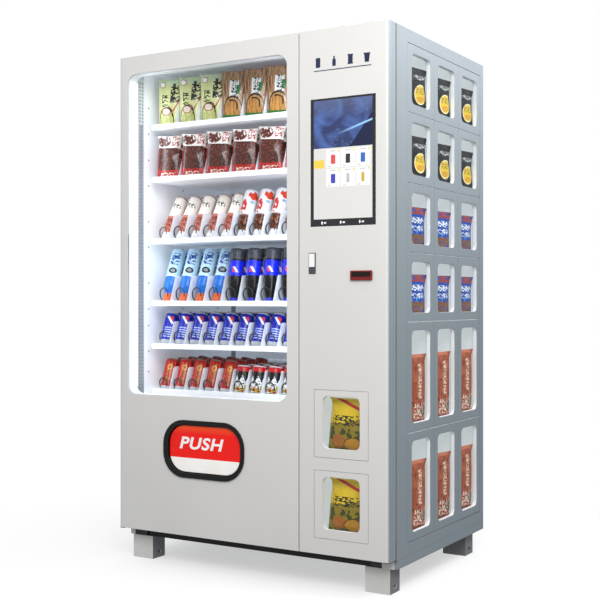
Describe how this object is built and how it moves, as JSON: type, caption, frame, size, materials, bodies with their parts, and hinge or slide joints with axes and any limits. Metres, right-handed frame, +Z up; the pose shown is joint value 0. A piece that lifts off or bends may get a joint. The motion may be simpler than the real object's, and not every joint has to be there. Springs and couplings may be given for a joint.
{
  "type": "snack vending machine",
  "caption": "Floor-standing snack and drink vending machine with a glass display door, touch-screen control door, push flap, and see-through lockers on the front and side.",
  "frame": {"origin": "on the floor, at the centre of the box that holds the machine at rest", "axes": "+X to the machine's right as a customer sees it, +Y from the front to the back, +Z up"},
  "size_m": [1.165, 0.858, 1.94],
  "materials": {
    "front_paint": "satin",
    "side_paint": "satin",
    "inner_white": "satin",
    "white_steel": "satin",
    "foot_paint": "satin",
    "black_plastic": "satin",
    "dark_steel": "satin",
    "compressor_black": "satin",
    "wire_black": "gloss",
    "bright_metal": "satin",
    "push_red": "gloss",
    "clear_glass": "polished",
    "screen_black": "gloss",
    "scanner_red": "gloss",
    "handle_white": "gloss"
  },
  "bodies": {
    "cabinet": {"side_panel_left": "side_paint", "top_panel": "front_paint", "back_panel": "side_paint", "floor_pan": "side_paint", "partition_wall": "white_steel", "side_frame_right": "side_paint", "base_frame": "front_paint", "kick_strip": "black_plastic", "foot_front_left": "foot_paint", "foot_front_right": "foot_paint", "foot_rear_left": "foot_paint", "foot_rear_right": "foot_paint", "inner_liner": "inner_white", "tray_1": "white_steel", "tray_2": "white_steel", "tray_3": "white_steel", "tray_4": "white_steel", "tray_5": "white_steel", "tray_6": "white_steel", "delivery_bin": "dark_steel", "compressor": "compressor_black", "condenser": "bright_metal", "hinge_bracket_left": "dark_steel", "hinge_bracket_right": "dark_steel", "locker_housing": "white_steel"},
    "glass_door": {"glass_door_frame": "front_paint", "door_glass": "clear_glass", "glass_retainer": "inner_white", "push_frame": "black_plastic"},
    "push_flap": {"push_flap": "push_red"},
    "control_door": {"control_door": "front_paint", "touch_screen": "screen_black", "code_scanner": "scanner_red", "lock_case": "dark_steel", "front_locker_box": "white_steel"},
    "lock_handle": {"lock_handle": "handle_white"},
    "front_locker_door_1": {"front_locker_door_1": "front_paint"},
    "front_locker_door_2": {"front_locker_door_2": "front_paint"},
    "locker_door_a1": {"locker_door_a1": "side_paint"},
    "locker_door_a2": {"locker_door_a2": "side_paint"},
    "locker_door_a3": {"locker_door_a3": "side_paint"},
    "locker_door_a4": {"locker_door_a4": "side_paint"},
    "locker_door_a5": {"locker_door_a5": "side_paint"},
    "locker_door_a6": {"locker_door_a6": "side_paint"},
    "locker_door_b1": {"locker_door_b1": "side_paint"},
    "locker_door_b2": {"locker_door_b2": "side_paint"},
    "locker_door_b3": {"locker_door_b3": "side_paint"},
    "locker_door_b4": {"locker_door_b4": "side_paint"},
    "locker_door_b5": {"locker_door_b5": "side_paint"},
    "locker_door_b6": {"locker_door_b6": "side_paint"},
    "locker_door_c1": {"locker_door_c1": "side_paint"},
    "locker_door_c2": {"locker_door_c2": "side_paint"},
    "locker_door_c3": {"locker_door_c3": "side_paint"},
    "locker_door_c4": {"locker_door_c4": "side_paint"},
    "locker_door_c5": {"locker_door_c5": "side_paint"},
    "locker_door_c6": {"locker_door_c6": "side_paint"},
    "condenser_fan": {"condenser_fan": "black_plastic"},
    "spiral_tray_1": {"spiral_tray_1": "wire_black"},
    "spiral_tray_3": {"spiral_tray_3": "wire_black"},
    "spiral_tray_5": {"spiral_tray_5": "wire_black"}
  },
  "joints": [
    {"name": "glass_door_hinge", "type": "hinge", "parent": "cabinet", "child": "glass_door", "pos_m": [-0.5685, -0.407, 1.03], "axis": [0, 0, -1], "range_deg": [0, 105]},
    {"name": "push_flap_hinge", "type": "hinge", "parent": "glass_door", "child": "push_flap", "pos_m": [-0.177, -0.408, 0.535], "axis": [1, 0, 0], "range_deg": [0, 70]},
    {"name": "control_door_hinge", "type": "hinge", "parent": "cabinet", "child": "control_door", "pos_m": [0.5685, -0.407, 1.03], "axis": [0, 0, 1], "range_deg": [0, 100]},
    {"name": "lock_handle_tilt", "type": "hinge", "parent": "control_door", "child": "lock_handle", "pos_m": [0.286, -0.427, 1.164], "axis": [-1, 0, 0], "range_deg": [0, 60]},
    {"name": "front_locker_door_1_hinge", "type": "hinge", "parent": "control_door", "child": "front_locker_door_1", "pos_m": [0.2935, -0.421, 0.5755], "axis": [0, 0, -1], "range_deg": [0, 95]},
    {"name": "front_locker_door_2_hinge", "type": "hinge", "parent": "control_door", "child": "front_locker_door_2", "pos_m": [0.2935, -0.421, 0.296], "axis": [0, 0, -1], "range_deg": [0, 95]},
    {"name": "locker_door_a1_hinge", "type": "hinge", "parent": "cabinet", "child": "locker_door_a1", "pos_m": [0.5825, -0.05333, 1.7745], "axis": [0, 0, 1], "range_deg": [0, 90]},
    {"name": "locker_door_a2_hinge", "type": "hinge", "parent": "cabinet", "child": "locker_door_a2", "pos_m": [0.5825, -0.05333, 1.5325], "axis": [0, 0, 1], "range_deg": [0, 90]},
    {"name": "locker_door_a3_hinge", "type": "hinge", "parent": "cabinet", "child": "locker_door_a3", "pos_m": [0.5825, -0.05333, 1.289], "axis": [0, 0, 1], "range_deg": [0, 90]},
    {"name": "locker_door_a4_hinge", "type": "hinge", "parent": "cabinet", "child": "locker_door_a4", "pos_m": [0.5825, -0.05333, 1.0475], "axis": [0, 0, 1], "range_deg": [0, 90]},
    {"name": "locker_door_a5_hinge", "type": "hinge", "parent": "cabinet", "child": "locker_door_a5", "pos_m": [0.5825, -0.05333, 0.7345], "axis": [0, 0, 1], "range_deg": [0, 90]},
    {"name": "locker_door_a6_hinge", "type": "hinge", "parent": "cabinet", "child": "locker_door_a6", "pos_m": [0.5825, -0.05333, 0.3525], "axis": [0, 0, 1], "range_deg": [0, 90]},
    {"name": "locker_door_b1_hinge", "type": "hinge", "parent": "cabinet", "child": "locker_door_b1", "pos_m": [0.5825, 0.16933, 1.7745], "axis": [0, 0, 1], "range_deg": [0, 90]},
    {"name": "locker_door_b2_hinge", "type": "hinge", "parent": "cabinet", "child": "locker_door_b2", "pos_m": [0.5825, 0.16933, 1.5325], "axis": [0, 0, 1], "range_deg": [0, 90]},
    {"name": "locker_door_b3_hinge", "type": "hinge", "parent": "cabinet", "child": "locker_door_b3", "pos_m": [0.5825, 0.16933, 1.289], "axis": [0, 0, 1], "range_deg": [0, 90]},
    {"name": "locker_door_b4_hinge", "type": "hinge", "parent": "cabinet", "child": "locker_door_b4", "pos_m": [0.5825, 0.16933, 1.0475], "axis": [0, 0, 1], "range_deg": [0, 90]},
    {"name": "locker_door_b5_hinge", "type": "hinge", "parent": "cabinet", "child": "locker_door_b5", "pos_m": [0.5825, 0.16933, 0.7345], "axis": [0, 0, 1], "range_deg": [0, 90]},
    {"name": "locker_door_b6_hinge", "type": "hinge", "parent": "cabinet", "child": "locker_door_b6", "pos_m": [0.5825, 0.16933, 0.3525], "axis": [0, 0, 1], "range_deg": [0, 90]},
    {"name": "locker_door_c1_hinge", "type": "hinge", "parent": "cabinet", "child": "locker_door_c1", "pos_m": [0.5825, 0.392, 1.7745], "axis": [0, 0, 1], "range_deg": [0, 90]},
    {"name": "locker_door_c2_hinge", "type": "hinge", "parent": "cabinet", "child": "locker_door_c2", "pos_m": [0.5825, 0.392, 1.5325], "axis": [0, 0, 1], "range_deg": [0, 90]},
    {"name": "locker_door_c3_hinge", "type": "hinge", "parent": "cabinet", "child": "locker_door_c3", "pos_m": [0.5825, 0.392, 1.289], "axis": [0, 0, 1], "range_deg": [0, 90]},
    {"name": "locker_door_c4_hinge", "type": "hinge", "parent": "cabinet", "child": "locker_door_c4", "pos_m": [0.5825, 0.392, 1.0475], "axis": [0, 0, 1], "range_deg": [0, 90]},
    {"name": "locker_door_c5_hinge", "type": "hinge", "parent": "cabinet", "child": "locker_door_c5", "pos_m": [0.5825, 0.392, 0.7345], "axis": [0, 0, 1], "range_deg": [0, 90]},
    {"name": "locker_door_c6_hinge", "type": "hinge", "parent": "cabinet", "child": "locker_door_c6", "pos_m": [0.5825, 0.392, 0.3525], "axis": [0, 0, 1], "range_deg": [0, 90]},
    {"name": "condenser_fan_spin", "type": "hinge", "parent": "cabinet", "child": "condenser_fan", "pos_m": [-0.0825, 0.311, 0.2653], "axis": [0, 1, 0], "continuous": true},
    {"name": "spiral_tray_1_spin", "type": "hinge", "parent": "cabinet", "child": "spiral_tray_1", "pos_m": [-0.46536, -0.293, 1.7222], "axis": [0, 1, 0], "continuous": true},
    {"name": "spiral_tray_3_spin", "type": "hinge", "parent": "cabinet", "child": "spiral_tray_3", "pos_m": [-0.4807, -0.293, 1.2612], "axis": [0, 1, 0], "continuous": true},
    {"name": "spiral_tray_5_spin", "type": "hinge", "parent": "cabinet", "child": "spiral_tray_5", "pos_m": [-0.4807, -0.293, 0.8492], "axis": [0, 1, 0], "continuous": true}
  ]
}
